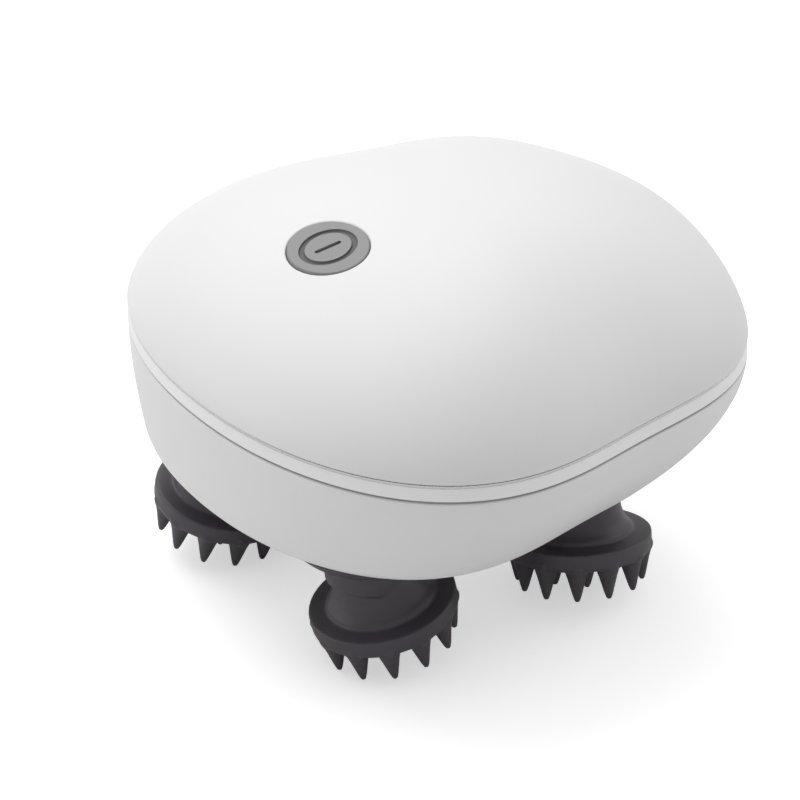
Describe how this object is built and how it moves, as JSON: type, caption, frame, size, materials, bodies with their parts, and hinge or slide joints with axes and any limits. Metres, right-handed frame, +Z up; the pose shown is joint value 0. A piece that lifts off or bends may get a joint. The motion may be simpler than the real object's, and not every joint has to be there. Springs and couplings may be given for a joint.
{
  "type": "scalp massager brush",
  "caption": "Palm-sized electric scalp massager: a domed pebble body with an oval power button and geared, tilted silicone claw heads that turn under it.",
  "frame": {"origin": "on the seam plane, the underside of the trim band, at the centre of the body outline", "axes": "+X from the button end to the rounded end with the charging port, +Z up through the dome, +Y across the body"},
  "size_m": [0.1069, 0.1106, 0.0723],
  "materials": {
    "shell_white": "satin",
    "silver_strip": "satin",
    "gasket_rubber": "matte",
    "silicone_charcoal": "satin",
    "plug_silicone": "satin",
    "button_grey": "satin",
    "nylon_grey": "matte",
    "nylon_white": "matte",
    "acetal_gear": "satin",
    "core_plastic": "matte",
    "zinc_steel": "satin",
    "ground_steel": "polished",
    "bronze": "satin",
    "ferrite": "matte",
    "copper_winding": "satin",
    "cell_wrap": "satin",
    "board_green": "satin",
    "chip_black": "matte",
    "wire_red": "satin"
  },
  "bodies": {
    "housing": {"top_cover": "shell_white", "accent_strip": "silver_strip", "trim_band": "shell_white", "seam_gasket": "gasket_rubber", "lower_housing": "shell_white", "housing_screws": "zinc_steel", "gear_plate": "nylon_grey", "gear_plate_screws": "zinc_steel", "upper_gear_plate": "nylon_grey", "upper_plate_screws": "zinc_steel", "idler_pins": "ground_steel", "lower_bushes": "bronze", "upper_bushes": "bronze", "skirt_seals": "silicone_charcoal", "motor_can": "zinc_steel", "motor_magnets": "ferrite", "motor_end_cap": "nylon_white", "motor_terminals": "bronze", "motor_screws": "zinc_steel", "battery_cell": "cell_wrap", "battery_cradle": "nylon_grey", "cradle_screws": "zinc_steel", "control_board": "board_green", "board_components": "chip_black", "board_screws": "zinc_steel", "tact_switch": "chip_black", "charge_board": "board_green", "charge_socket": "ground_steel", "wiring": "wire_red"},
    "button": {"button_cap": "button_grey", "switch_plunger": "nylon_white"},
    "port_cover": {"port_plug": "plug_silicone"},
    "motor_rotor": {"motor_shaft": "ground_steel", "motor_armature": "copper_winding", "motor_pinion": "bronze"},
    "first_stage": {"first_stage_wheel": "acetal_gear", "first_stage_pinion_shaft": "ground_steel"},
    "second_stage": {"second_stage_wheel": "acetal_gear", "second_stage_shaft": "ground_steel", "centre_drive_gear": "acetal_gear"},
    "reverser": {"reversing_gear": "acetal_gear"},
    "left_idler_body": {"left_idler": "acetal_gear"},
    "right_idler_body": {"right_idler": "acetal_gear"},
    "rear_left_head": {"rear_left_shaft": "ground_steel", "rear_left_gear": "acetal_gear", "rear_left_core": "core_plastic", "rear_left_claws": "silicone_charcoal"},
    "front_left_head": {"front_left_shaft": "ground_steel", "front_left_gear": "acetal_gear", "front_left_core": "core_plastic", "front_left_claws": "silicone_charcoal"},
    "rear_right_head": {"rear_right_shaft": "ground_steel", "rear_right_gear": "acetal_gear", "rear_right_core": "core_plastic", "rear_right_claws": "silicone_charcoal"},
    "front_right_head": {"front_right_shaft": "ground_steel", "front_right_gear": "acetal_gear", "front_right_core": "core_plastic", "front_right_claws": "silicone_charcoal"}
  },
  "joints": [
    {"name": "rear_left_spin", "type": "hinge", "parent": "housing", "child": "rear_left_head", "pos_m": [-0.0296, 0.0224, 0], "axis": [0, 0, 1], "continuous": true},
    {"name": "front_left_spin", "type": "hinge", "parent": "housing", "child": "front_left_head", "pos_m": [0.0152, 0.0224, 0], "axis": [0, 0, 1], "continuous": true},
    {"name": "rear_right_spin", "type": "hinge", "parent": "housing", "child": "rear_right_head", "pos_m": [-0.0296, -0.0224, 0], "axis": [0, 0, 1], "continuous": true},
    {"name": "front_right_spin", "type": "hinge", "parent": "housing", "child": "front_right_head", "pos_m": [0.0152, -0.0224, 0], "axis": [0, 0, 1], "continuous": true},
    {"name": "left_idler_spin", "type": "hinge", "parent": "housing", "child": "left_idler_body", "pos_m": [-0.0072, 0.0224, 0], "axis": [0, 0, 1], "continuous": true},
    {"name": "right_idler_spin", "type": "hinge", "parent": "housing", "child": "right_idler_body", "pos_m": [-0.0072, -0.0224, 0], "axis": [0, 0, 1], "continuous": true},
    {"name": "second_stage_spin", "type": "hinge", "parent": "housing", "child": "second_stage", "pos_m": [-0.0072, 0.0056, 0], "axis": [0, 0, 1], "continuous": true},
    {"name": "reverser_spin", "type": "hinge", "parent": "housing", "child": "reverser", "pos_m": [-0.0072, -0.0056, 0], "axis": [0, 0, 1], "continuous": true},
    {"name": "first_stage_spin", "type": "hinge", "parent": "housing", "child": "first_stage", "pos_m": [0.00896, 0, 0], "axis": [0, 0, 1], "continuous": true},
    {"name": "motor_spin", "type": "hinge", "parent": "housing", "child": "motor_rotor", "pos_m": [0.02146, 0, 0], "axis": [0, 0, 1], "continuous": true},
    {"name": "button_press", "type": "slide", "parent": "housing", "child": "button", "axis": [0, 0, -1], "range_m": [0, 0.0005]},
    {"name": "port_plug_pull", "type": "slide", "parent": "housing", "child": "port_cover", "axis": [1, 0, 0], "range_m": [0, 0.006]}
  ],
  "couplings": [
    {"joint": "front_left_spin", "follows": "rear_left_spin", "ratio": 1},
    {"joint": "rear_right_spin", "follows": "rear_left_spin", "ratio": -1},
    {"joint": "front_right_spin", "follows": "rear_left_spin", "ratio": -1},
    {"joint": "left_idler_spin", "follows": "rear_left_spin", "ratio": -1},
    {"joint": "right_idler_spin", "follows": "rear_left_spin", "ratio": 1},
    {"joint": "second_stage_spin", "follows": "rear_left_spin", "ratio": 2},
    {"joint": "reverser_spin", "follows": "rear_left_spin", "ratio": -2},
    {"joint": "first_stage_spin", "follows": "rear_left_spin", "ratio": -7.5},
    {"joint": "motor_spin", "follows": "rear_left_spin", "ratio": 23.75}
  ]
}
